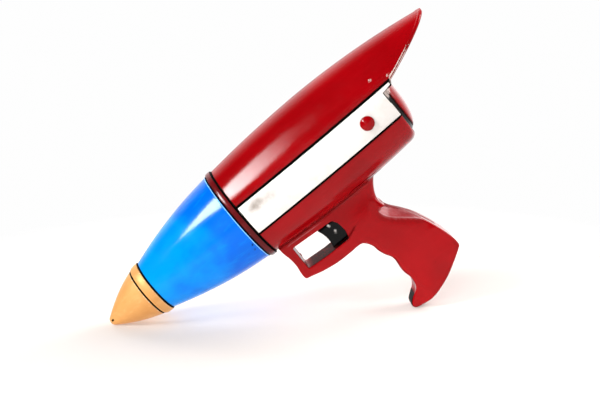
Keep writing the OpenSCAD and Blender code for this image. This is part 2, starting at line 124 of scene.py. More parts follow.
# Near edge of the hollow that the web of the thumb rests in, from the neck down
SCOOP_LINE = [(208.4, -60.8), (207.5, -63.6), (208.5, -67.3), (210.4, -70.9), (213.4, -74.4), (217.3, -78),
    (221.8, -82.2), (225.7, -85.8), (228.6, -89.8), (231, -95)]
SCOOP_SLOPE = 1.5
JOIN_X0, JOIN_X1 = 132, 231  # where the frame meets the body
CURVE_STEPS = 6  # points on a smooth line for each point given
SCREW_AT = [(137.5, -57), (203, -77), (207, -104), (212, -132)]
SCREW_HOLE_R = 2.65


def nose_at(x):
    d = NOSE_LEN - x
    return NOSE_R - 0.2875 * d - 0.0059 * d * d


def barrel_at(x):
    d = BARREL_X1 - x
    return BARREL_R - 0.08 * d - 0.001565 * d * d


def body_at(x):
    return BODY_R - (NARROWS if x < WIDEST_X else REAR_NARROWS) * (x - WIDEST_X) ** 2


def shoulder_at(x):
    """The body's radius, with the rounded rear shoulder below the hood."""
    if x < SHOULDER_X:
        return body_at(x)
    s = min(1, (x - SHOULDER_X) / (SHELL_X1 - SHOULDER_X))
    return SHOULDER_R + (body_at(SHOULDER_X) - SHOULDER_R) * sqrt(1 - 0.98 * s * s)


def dome_at(r):
    return DOME_X + DOME_DEPTH * (1 - (r / DOME_R) ** DOME_POWER) ** (1 / DOME_POWER)


def smoothstep(low, high, value):
    t = np.clip((value - low) / (high - low), 0, 1)
    return t * t * (3 - 2 * t)


def drop(r, inset):
    """How far an edge rounded to radius r has fallen away, at a distance inset from its outline."""
    return r - np.sqrt(r * r - np.clip(r - inset, 0, r) ** 2)


def ease(low, high, value):
    """smoothstep for a single number."""
    return float(smoothstep(low, high, value))


def hood_edge_at(x):
    """Height of the hood's lower edge, with the tongue in front of it, closing at the tip."""
    start = TONGUE_X + 2.5
    if x <= start:
        return TONGUE_Z + (HOOD_Z0 - TONGUE_Z) * ease(TONGUE_X - 0.4, start, x)
    s = (x - start) / (HOOD_TIP_X - start)
    edge = HOOD_Z0 + (HOOD_Z1 - HOOD_Z0) * s - 4 * HOOD_SAG * s * (1 - s)
    return edge + (body_at(HOOD_TIP_X) - HOOD_Z1) * s**6


def add(name, data):
    """A new object in the scene."""
    thing = bpy.data.objects.new(name, data)
    bpy.context.scene.collection.objects.link(thing)
    return thing


# ---- camera


def look_from(azimuth, elevation, roll, distance, target, lens):
    """The camera: azimuth 0 looks along +Y, and roll turns the picture's right edge down."""
    az, el, turn = (radians(a) for a in (azimuth, elevation, roll))
    back = Vector((sin(az) * cos(el), -cos(az) * cos(el), sin(el)))
    level = Vector((cos(az), sin(az), 0))
    over = back.cross(level)
    right = level * cos(turn) - over * sin(turn)
    up = level * sin(turn) + over * cos(turn)
    data = bpy.data.cameras.new("camera")
    data.lens = lens
    data.clip_start = 0.01
    data.clip_end = 50
    camera = add("camera", data)
    place = Matrix((right, up, back)).transposed().to_4x4()
    place.translation = (Vector(target) + back * distance) * MM
    camera.matrix_world = place
    bpy.context.scene.camera = camera


# ---- node materials


def linear(colour):
    """A colour written #rrggbb, as the linear values that Blender takes."""
    values = [int(colour[i:i + 2], 16) / 255 for i in (1, 3, 5)]
    return tuple(v / 12.92 if v <= 0.04045 else ((v + 0.055) / 1.055) ** 2.4 for v in values) + (1,)


class Nodes:
    """A short way to write a node tree: every call makes a node and returns its output."""

    def __init__(self, tree):
        self.tree = tree
        tree.nodes.clear()

    def put(self, socket, value):
        if isinstance(value, bpy.types.NodeSocket):
            self.tree.links.new(value, socket)
        else:
            socket.default_value = linear(value) if isinstance(value, str) else value

    def new(self, kind, inputs=None, output=0, **settings):
        node = self.tree.nodes.new(kind)
        for key, value in settings.items():
            setattr(node, key, value)
        for key, value in (inputs or {}).items():
            self.put(node.inputs[key], value)
        return node.outputs[output] if node.outputs else node

    def math(self, operation, a, b):
        return self.new("ShaderNodeMath", {0: a, 1: b}, operation=operation)

    def plus(self, a, b):
        return self.math("ADD", a, b)

    def minus(self, a, b):
        return self.math("SUBTRACT", a, b)

    def times(self, a, b):
        return self.math("MULTIPLY", a, b)

    def place(self, scale=(1, 1, 1)):
        """Object coordinates in millimetres, times scale."""
        spot = self.new("ShaderNodeTexCoord", output="Object")
        return self.new("ShaderNodeVectorMath", {0: spot, 1: tuple(s / MM for s in scale)},
            operation="MULTIPLY")

    def noise(self, size, detail=3, rough=0.5, stretch=(1, 1, 1), warp=0.0):
        """Noise from 0 to 1 whose lumps are about size millimetres across."""
        scale = tuple(s / size for s in stretch)
        return self.new("ShaderNodeTexNoise", {"Vector": self.place(scale), "Scale": 1.0,
            "Detail": detail, "Roughness": rough, "Distortion": warp}, output="Fac")

    def step(self, value, low, high, a=0.0, b=1.0):
        """Runs smoothly from a to b while value runs from low to high."""
        return self.new("ShaderNodeMapRange", {"Value": value, "From Min": low, "From Max": high,
            "To Min": a, "To Max": b}, interpolation_type="SMOOTHSTEP")

    def mix(self, factor, a, b):
        sockets = {"Factor": factor, "A": a, "B": b}
        return self.new("ShaderNodeMix", sockets, output="Result", data_type="RGBA")

    def attribute(self, name):
        return self.new("ShaderNodeAttribute", output="Fac", attribute_name=name)

    def specks(self, spacing, radius, share):
        """Round specks: 1 inside one, 0 outside, in a share of the cells."""
        node = self.tree.nodes.new("ShaderNodeTexVoronoi")
        self.put(node.inputs["Vector"], self.place((1 / spacing,) * 3))
        node.inputs["Scale"].default_value = 1
        shown = self.step(node.outputs["Color"], 1 - share, 1 - share + 0.02)
        inside = self.step(node.outputs["Distance"], radius / spacing, 0.6 * radius / spacing)
        return self.times(shown, inside)

    def emboss(self, shader, height, strength=0.5):
        """Presses a height in millimetres into the shader's surface."""
        bump = self.new("ShaderNodeBump", {"Height": height, "Strength": strength, "Distance": MM},
            output="Normal")
        self.put(shader.inputs["Normal"], bump)


def blank(name):
    """A new material, with its nodes and its shader."""
    made = bpy.data.materials.new(name)
    made.use_nodes = True
    n = Nodes(made.node_tree)
    shader = made.node_tree.nodes.new("ShaderNodeBsdfPrincipled")
    n.new("ShaderNodeOutputMaterial", {"Surface": shader.outputs["BSDF"]})
    return made, n, shader


GRIME_AND_SHADE = "#0b0908"  # black paint in the creases, dirt, and painted shade
PAINTED_SHEEN_PINK = "#c08c90"  # pale pink painted over the red as a sheen and highlights


def paint(name, colour, deep, light, rough, grain=0.05, specks=0.3, metallic=0.0, worn="#d8c6bd",
    tint=(1, 1, 1, 1)):
    """Hand-brushed enamel: clouded colour, brush streaks, dust, dark paint and painted shade in creases,
    flakes, painted highlights.
    """
    made, n, shader = blank(name)
    clouds = n.minus(n.noise(38, 3, 0.55), n.times(n.attribute("smudge"), 0.45))
    streaks = n.noise(3.2, 4, 0.6, (0.16, 1, 1), 0.4)
    base = n.mix(n.step(clouds, 0.34, 0.7), deep, colour)
    base = n.mix(n.step(streaks, 0.5, 0.78, 0, 0.35), base, light)
    dust = n.times(n.specks(7.5, 0.42, specks), n.step(n.noise(30), 0.45, 0.6))
    base = n.mix(n.times(dust, 0.6), base, worn)
    marks = n.times(n.specks(11, 0.4, specks * 0.8), 0.75)
    base = n.mix(marks, base, GRIME_AND_SHADE)
    # black paint that has run into a crease, and black painted shadow in the deepest hollows: its edge
    # wanders a little
    ragged = n.plus(n.attribute("crease"), n.times(n.noise(1.6, 3), 0.5))
    black = n.step(ragged, 0.72, 0.86)
    # and a softer painted shade round about
    shade = n.step(n.plus(n.attribute("crease"), n.times(n.noise(9, 4), 0.3)), 0.12, 0.8, 0, 0.72)
    base = n.mix(shade, base, GRIME_AND_SHADE)
    base = n.mix(black, base, GRIME_AND_SHADE)
    # flaked paint in the pale colour, which also draws painted highlight lines and glints
    chip_and_glint = n.plus(n.attribute("wear"), n.times(n.noise(1.3, 4, 0.65), 0.9))
    bare = n.step(chip_and_glint, 1.0, 1.14)
    base = n.mix(n.times(bare, 0.85), base, worn)
    # a painted pink sheen and painted highlights over the red, broken into patches
    patchy = n.step(n.noise(2.6, 5, 0.65, (1, 1, 0.5)), 0.3, 0.6, 0.45, 1)
    sheen_mask = n.times(n.attribute("rub"), patchy)
    base = n.mix(sheen_mask, base, PAINTED_SHEEN_PINK)
    n.put(shader.inputs["Base Color"], base)
    matte = n.step(n.math("MAXIMUM", shade, black), 0.12, 0.5, 0.5, 0.03)
    n.put(shader.inputs["Specular IOR Level"], matte)
    shader.inputs["Specular Tint"].default_value = tint
    gloss = n.noise(14, 4, 0.6)
    n.put(shader.inputs["Roughness"], n.plus(n.step(gloss, 0.3, 0.75, rough, rough + 0.07),
        n.times(n.plus(bare, shade), 0.4)))
    shader.inputs["Metallic"].default_value = metallic
    shader.inputs["IOR"].default_value = 1.5
    height = n.plus(n.times(n.noise(0.9, 3, 0.6), grain),
        n.times(n.noise(2.4, 2, 0.5, (0.25, 1, 1)), grain * 1.2))
    height = n.minus(height, n.times(bare, 0.06))
    height = n.plus(height, n.times(dust, 0.08))
    n.emboss(shader, height, 0.55)
    return made


def soiled_white(name):
    """White enamel with a grey-brown smudge near the front and a few dark flecks."""
    made, n, shader = blank(name)
    white, ivory, brown = "#f6f3ef", "#ece4de", "#7e6c5e"
    base = n.mix(n.step(n.noise(30, 4, 0.6), 0.4, 0.75), white, ivory)
    blotch = n.step(n.noise(7, 3, 0.5), 0.3, 0.7, 0.3, 0.75)
    rubbed = n.times(blotch, n.step(n.attribute("smudge"), 0.0, 1.0))
    base = n.mix(rubbed, base, brown)
    scratches = n.times(n.step(n.noise(2.2, 5, 0.7, (0.35, 1, 1.4), 1.5), 0.64, 0.78),
        n.step(n.attribute("smudge"), 0.02, 0.5, 0.14, 0.32))
    base = n.mix(scratches, base, brown)
    base = n.mix(n.times(n.specks(9, 0.4, 0.3), 0.8), base, "#2a2422")
    edge = n.plus(n.attribute("crease"), n.times(n.noise(1.5, 3), 0.5))
    base = n.mix(n.step(edge, 0.74, 0.9), base, GRIME_AND_SHADE)
    n.put(shader.inputs["Base Color"], base)
    n.put(shader.inputs["Roughness"], n.step(n.noise(12, 4), 0.3, 0.7, 0.22, 0.36))
    n.emboss(shader, n.times(n.noise(1.0, 3, 0.6, (0.4, 1, 1)), 0.06))
    return made


def metal(name, colour, dull, rough=0.28):
    """Plated or bare metal with fine turning marks and duller patches."""
    made, n, shader = blank(name)
    patches = n.step(n.noise(6, 4, 0.6), 0.35, 0.7)
    n.put(shader.inputs["Base Color"], n.mix(patches, colour, dull))
    shader.inputs["Metallic"].default_value = 1.0
    n.put(shader.inputs["Roughness"], n.step(n.noise(3, 4), 0.3, 0.7, rough, rough + 0.18))
    n.emboss(shader, n.times(n.noise(0.5, 3, 0.6, (0.2, 1, 1)), 0.04))
    return made


def moulded(name, colour, worn, rough=0.2, clear=0.0):
    """Moulded plastic, rubber or vinyl: a faint mottle, specks, painted near-white glints and a fine grain.
    """
    made, n, shader = blank(name)
    mottle = n.step(n.noise(4, 4, 0.6), 0.4, 0.8, 0, 0.5)
    base = n.mix(mottle, colour, worn)
    base = n.mix(n.times(n.specks(4, 0.22, 0.3), 0.5), base, worn)
    n.put(shader.inputs["Base Color"], n.mix(n.attribute("wear"), base, "#f4f2ee"))
    n.put(shader.inputs["Roughness"], n.step(n.noise(5, 3), 0.3, 0.7, rough, rough + 0.15))
    shader.inputs["Transmission Weight"].default_value = clear
    n.emboss(shader, n.times(n.noise(0.7, 3, 0.6), 0.05))
    return made


# each enamel's pale worn colour also draws its painted highlights
RED = paint("red enamel", "#a2020a", "#950208", "#ae0a14", 0.1)
DARK_RED = paint("dark red enamel", "#761015", "#5a0c10", "#8c1e24", 0.16)
BLUE = paint("blue enamel", "#0090f2", "#006ae2", "#049af8", 0.1, 0.03, 0.2,
    worn="#8fdcff", tint=(0.78, 0.88, 1, 1))
GOLD = paint("gold enamel", "#eeb068", "#dc9850", "#fbcc8c", 0.4, 0.08, 0.15, 0.25, "#fff0d8")
BLACK = paint("black enamel", "#0d0b0b", "#080707", "#1c1818", 0.25, 0.08, 0.2)
WHITE = soiled_white("white enamel")
TINPLATE = metal("tinplate", "#c4c0b6", "#9d988e")
STEEL = metal("plated steel", "#cfcfd0", "#96969a", 0.2)
BRASS = metal("turned brass", "#d3ab55", "#a07c36", 0.25)
PLASTIC = moulded("black plastic", "#070708", "#141416", 0.1)
RUBBER = moulded("black rubber", "#1a1716", "#332e2c", 0.55)
VINYL = moulded("clear vinyl", "#d9d4c4", "#e9e4d6", 0.25, 0.5)


# ---- meshes


def make_piece(name, points, faces, finish, slot, body="gun", sharp=42, thickness=0, **values):
    """One piece from points in millimetres, in place of the CAD node of the same name.

    values hold numbers for each point, which the materials read.
    """
    mesh = bpy.data.meshes.new(name)
    spots = [tuple(float(c) * MM for c in p) for p in points]
    mesh.from_pydata(spots, [], [tuple(map(int, f)) for f in faces])
    for key in ("crease", "wear", "smudge", "rub"):
        layer = mesh.attributes.new(key, "FLOAT", "POINT")
        layer.data.foreach_set("value", np.asarray(values.get(key, np.zeros(len(points))), np.float32))
    bm = bmesh.new()
    bm.from_mesh(mesh)
    bmesh.ops.remove_doubles(bm, verts=bm.verts, dist=2e-6)
    bmesh.ops.dissolve_degenerate(bm, edges=bm.edges, dist=1e-6)
    bmesh.ops.recalc_face_normals(bm, faces=bm.faces)
    bm.to_mesh(mesh)
    bm.free()
    piece = add(name, mesh)
    if thickness:
        solid = piece.modifiers.new("sheet", "SOLIDIFY")
        solid.thickness = thickness * MM
        solid.offset = -1
        evaluated = piece.evaluated_get(bpy.context.evaluated_depsgraph_get())
        piece.data = bpy.data.meshes.new_from_object(evaluated)
        piece.modifiers.clear()
        piece.data.name = name
    piece.data.shade_smooth()
    piece.data.set_sharp_from_angle(angle=radians(sharp))
    piece.data.materials.append(finish)
    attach(piece, body)
    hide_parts(name)
    return piece


def grid_faces(rows, columns, closed_rows=False, closed_columns=False):
    """Quads between rows of points that were added row by row."""
    faces = []
    for i in range(rows if closed_rows else rows - 1):
        for k in range(columns if closed_columns else columns - 1):
            a, b = i * columns, (i + 1) % rows * columns
            m = (k + 1) % columns
            faces.append((a + k, a + m, b + m, b + k))
    return faces


def rounded(outline, radius, steps=5, closed=True):
    """The outline with each sharp corner turned into a small curve."""
    points = [np.array(p, float) for p in outline]
    result = []
    for i, corner in enumerate(points):
        if not closed and i in (0, len(points) - 1):
            result.append(corner)
            continue
        a, b = points[i - 1] - corner, points[(i + 1) % len(points)] - corner
        la, lb = np.linalg.norm(a), np.linalg.norm(b)
        if a @ b < -0.93 * la * lb:
            result.append(corner)
            continue
        cut = min(radius, 0.45 * la, 0.45 * lb)
        p, q = corner + a / la * cut, corner + b / lb * cut
        for s in np.linspace(0, 1, steps + 1):
            result.append((1 - s) ** 2 * p + 2 * s * (1 - s) * corner + s * s * q)
    return result


def dented(point, depth, size=26.0):
    """A point moved a little towards the axis, in shallow dents as hand-pressed tin has."""
    push = depth * (0.5 + 0.5 * noise.noise(Vector(point) / size))
    r = hypot(point[1], point[2])
    if r < 2:
        return point
    keep = 1 - push / r
    return (point[0], point[1] * keep, point[2] * keep)


def turned(profile, dent):
    """Points and faces of a closed profile of (x, radius) turned about the rocket's axis."""
    points = []
    for x, r in profile:
        for k in range(SIDES):
            a = 2 * pi * k / SIDES
            points.append(dented((x, r * sin(a), r * cos(a)), dent))
    return points, grid_faces(len(profile), SIDES, True, True)


def bumps(x, places):
    """1 at each (place, half width) along x, fading to 0 over 0.35 mm beyond it."""
    return max(ease(half + 0.35, half, abs(x - at)) for at, half in places)


def turned_piece(name, profile, finish, slot, dent, creases=(), wears=(), worn=1, smudge=None, dots=()):
    """A turned piece of the gun, with creases, and worn lines and painted highlight lines, as (place, half
    width) along the axis.

    smudge gives the depth of its cloudy colour at x. Each of dots is a dark spot: x, y, z, reach, level.
    """
    points, faces = turned(profile, dent)
    deep = [smudge(p[0]) if smudge else 0 for p in points]
    crease = [bumps(p[0], creases) if creases else 0 for p in points]
    for *place, reach, level in dots:
        near = [ease(reach, 0.25 * reach, dist(p, place)) for p in points]
        crease = [max(c, level * k) for c, k in zip(crease, near)]
    wear = [worn * bumps(p[0], wears) if wears else 0 for p in points]
    make_piece(name, points, faces, finish, slot, crease=crease, wear=wear, smudge=deep)


# ---- nose, barrel and band


def build_nose():
    outside = [(x, nose_at(x)) for x in np.linspace(0.4, NOSE_LEN, 40)]
    inside = [(x, nose_at(x) - TIN) for x in np.linspace(NOSE_LEN - 1, 9, 20)]
    profile = rounded([(0.4, JET_R + 0.02)] + outside + [(NOSE_LEN, COLLAR_R), (NOSE_LEN - 1, COLLAR_R)]
        + inside + [(6, JET_R + 0.02)], 0.9)
    # pale marks at the mouth, and a painted highlight beside the rear groove
    turned_piece("nose_tip", profile, GOLD, "gold_paint", 0.15, creases=[(NOSE_LEN + 0.4, 0.5)],
        wears=[(0.2, 0.8), (NOSE_LEN - 0.7, 0.4)], worn=0.56, dots=[(2.6, -4.2, 1.4, 1.3, 1.4)])

    front, rear = NOSE_LEN + 0.9, RING_X1
    profile = rounded([(33, 17), (33, 18.1), (front, 18.1), (front, NOSE_R + 0.5),
        (front + 1.5, NOSE_R + 1.3), (front + 4, NOSE_R + 1.65), (rear - 1, NOSE_R + 1.8),
        (rear, NOSE_R + 1.4), (rear, 18.1), (rear + 3.5, 18.1), (rear + 3.5, 17)], 0.45)
    # a painted highlight beside the ring's rear groove
    turned_piece("nose_ring", profile, GOLD, "gold_paint", 0.08,
        creases=[(front - 0.3, 0.35), (rear + 0.25, 0.55)], wears=[(rear - 1.1, 0.5)], worn=0.52)


def build_barrel():
    lip = BARREL_X1 - 1.1
    outside = [(x, barrel_at(x)) for x in np.linspace(BARREL_X0, lip - 0.3, 70)]
    bead = [(lip + 1.1 * s, barrel_at(lip + 1.1 * s) + 0.22 * sin(pi * s))
        for s in np.linspace(0, 1, 7)]
    inside = [(x, barrel_at(x) - TIN) for x in np.linspace(BARREL_X1, BARREL_X0 + 1, 30)]
    profile = rounded([(BARREL_X0, COLLAR_R)] + outside + bead + inside + [(BARREL_X0 + 1, COLLAR_R)], 0.3)
    # a painted light-cyan highlight along the lip; the blue deepens towards the band; dark specks near it
    turned_piece("barrel_cone", profile, BLUE, "blue_paint", 0.16,
        creases=[(BARREL_X0 - 0.1, 0.25), (BARREL_X1 + 0.1, 0.1)],
        wears=[(BARREL_X1 - 0.65, 0.12)],
        smudge=lambda x: ease(72, 124, x) * 0.8 - 0.25,
        dots=[(122.2, -34, -16, 1.2, 0.9), (121, -31.5, -20.5, 1.1, 0.8), (115, -31.3, -21, 1.1, 1)])


def build_band():
    front, rear = BARREL_X1 + 0.4, BAND_X1
    middle = (front + rear) / 2
    crown = [(middle + (rear - front - 1.6) / 2 * s, BAND_R - 0.22 * s * s) for s in np.linspace(-1, 1, 11)]
    profile = rounded([(118, 35), (118, 36), (front, 36), (front, BAND_R - 1.3)] + crown
        + [(rear, BAND_R - 1.3), (rear, 35)], 0.4)
    turned_piece("front_band", profile, DARK_RED, "dark_red_paint", 0.06,
        creases=[(front + 0.1, 0.55), (rear - 0.1, 0.55)])


# ---- body shells and panels


def shell_points(side, xs, section):
    """Rings of points at each x, from section(x), a list of (angle from the top, radius)."""
    return [[(x, side * r * sin(a), r * cos(a)) for a, r in section(x)] for x in xs]


def angle_at(z, r):
    return acos(max(-1.0, min(1.0, z / r)))


def closed_tube(rows):
    """Faces round each ring, with the two open ends closed across the sheet."""
    count = len(rows[0])
    faces = grid_faces(len(rows), count, False, True)
    half = count // 2
    for base, order in ((0, 1), ((len(rows) - 1) * count, -1)):
        for k in range(half - 1):
            quad = (base + k, base + k + 1, base + count - 2 - k, base + count - 1 - k)
            faces.append(quad[::order])
    return faces


def upper_section(x):
    """The top of the shell at x: seam, skin, groove wall and recess floor, and back along the inside."""
    r = body_at(x)
    edge = min(hood_edge_at(x), r)
    hood = ease(TONGUE_X, TONGUE_X + 3, x)
    rim_z = min(max(PANEL_HALF + PANEL_GAP, edge + 1.9 * hood), r)
    seam = HAIR / r
    last = angle_at(rim_z, r)
    seam = min(seam, last)
    lip, start = min(seam + 0.3 / r, last), seam + 0.7 / r
    if last < seam + 0.8 / r:
        lip = start = seam
    outer = [(seam, r - 0.35), (lip, r - 0.08)]
    outer += [(start + (last - start) * s, r) for s in np.linspace(0, 1, 56)]
    edge_angle = angle_at(edge, r)
    for q in np.linspace(0.03, 1, 12):
        groove = PANEL_T * ease(0, 0.1, q)
        bead = -0.32 * sin(pi * min(1, q * 1.1)) + 0.55 * ease(0.8, 1, q)
        outer.append((last + (edge_angle - last) * q, r - (1 - hood) * groove - hood * bead))
    inner = [(a, r - TIN - 0.3 * hood * ease(3, 0, (edge_angle - a) * r)) for a, _ in outer]
    return outer + inner[::-1]


def lower_section(x):
    """The bottom of the shell at x: the recess floor, the groove wall, the skin and the seam."""
    r, low_r = body_at(x), shoulder_at(x)
    first, groove = angle_at(TONGUE_Z, r), angle_at(-PANEL_HALF - PANEL_GAP, r)
    outer = [(first + (groove - 0.07 / r - first) * s, r - PANEL_T) for s in np.linspace(0, 1, 22)]
    outer += [(groove - 0.02 / r, r - PANEL_T * 0.6 - (r - low_r) * 0.6), (groove + 0.02 / r, low_r - 0.12),
        (groove + 0.12 / r, low_r - 0.02)]
    last = pi - HAIR / r
    outer += [(groove + 0.3 / r + (last - groove - 1 / r) * s, low_r) for s in np.linspace(0, 1, 54)]
    outer += [(last - 0.3 / r, low_r - 0.08), (last, low_r - 0.35)]
    inner = [(a, radius - TIN if a > groove else r - TIN) for a, radius in outer]
    return outer + inner[::-1]


def shell_values(points):
    """Crease and pale marks for shell points: black round the panel and at the ends, painted shade, rim
    highlights, hood flakes.
    """
    creases, wears = [], []
    for x, y, z in points:
        depth = body_at(x) - hypot(y, z)
        reach = abs(z) - PANEL_HALF - PANEL_GAP
        dark, bare = [ease(0.75, 0.3, x - SHELL_X0)], []
        if x < TONGUE_X + 1.5 and abs(y) > 20:
            # black paint in the groove round the panel, and a soft painted shade on the red above it
            dark += [ease(0.45, 0, reach), 0.22 * ease(5, 0.4, reach) * (z > 0)]
        if x > SHELL_X1 - 0.5 and z < 9:
            dark.append(0.8)
        # a dark wash and painted shade where the body meets the frame
        if z < -28 and JOIN_X0 < x < JOIN_X1:
            dark.append(0.34 * ease(4, 0, abs(depth) + max(0, abs(y) - FRAME_HALF - 1.2)))
        # on the hood's rim: two painted highlight lines in the pale colour, with a painted shade line
        # between them
        if x > TONGUE_X:
            rim, lower = z - hood_edge_at(x), ease(318, 292, x)
            bare.append(0.78 * lower * bumps(rim, [(0.3, 0.3), (1.7, 0.25)]))
            dark.append(0.35 * lower * bumps(rim, [(1, 0.5)]))
        for spot, height, size in ((277.5, 15.6, 6.2), (264, 21, 4.6)):
            bare.append(0.6 * ease(size, 0.2 * size, hypot(x - spot, 1.4 * (z - height))))
        creases.append(max(dark))
        wears.append(0 if depth > 0.8 and x < TONGUE_X else max(bare))
    return creases, wears


def build_shell(side, name):
    low_xs = [*np.linspace(SHELL_X0, SHELL_X0 + 1.2, 5), *np.linspace(SHELL_X0 + 2, SHOULDER_X, 66),
        *np.linspace(SHOULDER_X + 0.6, SHELL_X1, 14)]
    hood_xs = list(np.linspace(SHELL_X1 + 0.5, TONGUE_X + 4, 26))
    tip = HOOD_TIP_X - TONGUE_X - 5
    hood_xs += [HOOD_TIP_X - tip * (1 - s) ** 1.8 for s in np.linspace(0, 1, 44)]
    upper = shell_points(side, low_xs + hood_xs, upper_section)
    lower = shell_points(side, low_xs, lower_section)
    faces = closed_tube(upper)
    offset = len(upper) * len(upper[0])
    faces += [tuple(offset + v for v in face) for face in closed_tube(lower)]
    points = [dented(p, 0.12, 34) for row in upper + lower for p in row]
    crease, wear = shell_values(points)
    make_piece(name, points, faces, RED, "red_paint", sharp=50, crease=crease, wear=wear)


def distance_to(points, loops, closed=True):
    """Distance of each point to the nearest of the loops' sides."""
    best = np.full(len(points), 1e9)
    for loop in loops:
        loop = np.array(loop, float)
        ends = np.roll(loop, -1, 0) if closed else loop[1:]
        for a, b in zip(loop, ends):
            d = b - a
            t = np.clip(((points - a) @ d) / max(d @ d, 1e-12), 0, 1)
            best = np.minimum(best, np.linalg.norm(points - a - t[:, None] * d, axis=1))
    return best


def inside(points, *loops):
    """True for points inside the first closed loop, but not inside the others, which are its holes."""
    x, z = points[:, 0], points[:, 1]
    found = np.zeros(len(points), bool)
    for loop in loops:
        loop = np.array(loop, float)
        for a, b in zip(loop, np.roll(loop, -1, 0)):
            crosses = (a[1] > z) != (b[1] > z)
            with np.errstate(divide="ignore", invalid="ignore"):
                at = (b[0] - a[0]) * (z - a[1]) / (b[1] - a[1]) + a[0]
            found ^= crosses & (x < at)
    return found


def fill(loops, spacing, insets, extra=()):
    """Triangles over the first loop less the others, finer beside the loops. Points are (x, z)."""
    points = [tuple(p) for loop in loops for p in loop]
    sides, first = [], 0
    for loop in loops:
        sides += [(first + i, first + (i + 1) % len(loop)) for i in range(len(loop))]
        first += len(loop)
    for line in extra:
        first = len(points)
        points += [tuple(p) for p in line]
        sides += [(first + i, first + i + 1) for i in range(len(line) - 1)]
    more = []
    for loop in loops:
        ring = np.array(loop, float)
        along = np.roll(ring, -1, 0) - np.roll(ring, 1, 0)
        along /= np.linalg.norm(along, axis=1)[:, None]
        across = np.stack([-along[:, 1], along[:, 0]], 1)
        for d in insets:
            for sign in (-1, 1):
                trial = ring + sign * d * across
                more.append(trial[distance_to(trial, loops) > 0.93 * d])
    low, high = np.min(loops[0], 0), np.max(loops[0], 0)
    xs, zs = np.arange(low[0], high[0], spacing), np.arange(low[1], high[1], spacing)
    lattice = np.array([(x + (0.5 * spacing if j % 2 else 0), z) for j, z in enumerate(zs) for x in xs])
    more.append(lattice[distance_to(lattice, loops) > max(insets) + 0.45 * spacing])
    more = np.concatenate(more)
    more = more[inside(more, *loops)]
    if extra:
        more = more[distance_to(more, extra, False) > 0.35 * spacing]
    points += [tuple(p) for p in more]
    found = delaunay_2d_cdt([Vector(p) for p in points], sides, [], 0, 1e-4)
    flat = np.array([tuple(p) for p in found[0]])
    triangles = np.array([tuple(t) for t in found[2]])
    triangles = triangles[inside(flat[triangles].mean(1), *loops)]
    used = np.unique(triangles)
    new = np.full(len(flat), -1)
    new[used] = np.arange(len(used))
    return flat[used], new[triangles]


def edges_round(triangles):
    """The open sides of a patch of triangles, each in its triangle's direction."""
    seen = {}
    for t in triangles:
        for a, b in ((t[0], t[1]), (t[1], t[2]), (t[2], t[0])):
            seen[(a, b)] = seen.get((a, b), 0) + 1
    return [(a, b) for a, b in seen if (b, a) not in seen]


def circle(x, z, r, count=40):
    angles = [2 * pi * k / count for k in range(count)]
    return [(x + r * cos(a), z + r * sin(a)) for a in angles]


def evenly(loop, spacing):
    """The closed loop with points no further apart than spacing."""
    result = []
    for i, a in enumerate(loop):
        a, b = np.array(a, float), np.array(loop[(i + 1) % len(loop)], float)
        count = max(1, ceil(np.linalg.norm(b - a) / spacing))
        result += [tuple(a + (b - a) * k / count) for k in range(count)]
    return result


def build_panel(side, name):
    """The white plate: a curved sheet with a rounded edge, standing in its recess."""
    outline = rounded([(PANEL_X0, -PANEL_HALF), (PANEL_X1, -PANEL_HALF), (PANEL_X1, TONGUE_Z - 0.5),
        (TONGUE_X, TONGUE_Z + 0.8), (TONGUE_X, PANEL_HALF), (PANEL_X0, PANEL_HALF)], 0.5, 4)
    loops = [evenly(outline, 1.5)]
    if side < 0:
        loops.append(circle(PLUG_X, 0, PLUG_HOLE_R))
    flat, triangles = fill(loops, 2.2, [0.12, 0.3, 0.6])
    edge = distance_to(flat, loops)
    points = []
    for base in (0, PANEL_T - HAIR):
        for (x, z), d in zip(flat, 0.75 * drop(0.4, edge)):
            radius = body_at(x) + 0.08 - (d if base == 0 else base + 0.08)
            points.append((x, side * sqrt(radius**2 - z * z), z))
    count = len(flat)
    faces = [tuple(t) for t in triangles] + [tuple(count + v for v in t[::-1]) for t in triangles]
    faces += [(b, a, count + a, count + b) for a, b in edges_round(triangles)]
    marks = ((143, 6, 6, 4.5, 0.75), (153, 5.5, 10, 5, 0.6), (135, 3, 5, 9, 0.15), (168, 5, 14, 7, 0.16))
    smudge = [sum(v * exp(-(((px - x) / a) ** 2) - ((pz - z) / b) ** 2) for x, z, a, b, v in marks)
        for px, _, pz in points]
    near = distance_to(flat, [[(PANEL_X1, 0), (PANEL_X1, TONGUE_Z - 0.5), (TONGUE_X, TONGUE_Z + 0.8),
        (TONGUE_X, PANEL_HALF)]], False)
    crease = list(np.maximum(0.6 * (1 - smoothstep(0, 0.3, edge)), 1 - smoothstep(0.2, 0.8, near))) * 2
    make_piece(name, points, faces, WHITE, "white_paint", sharp=60, crease=crease, smudge=smudge)


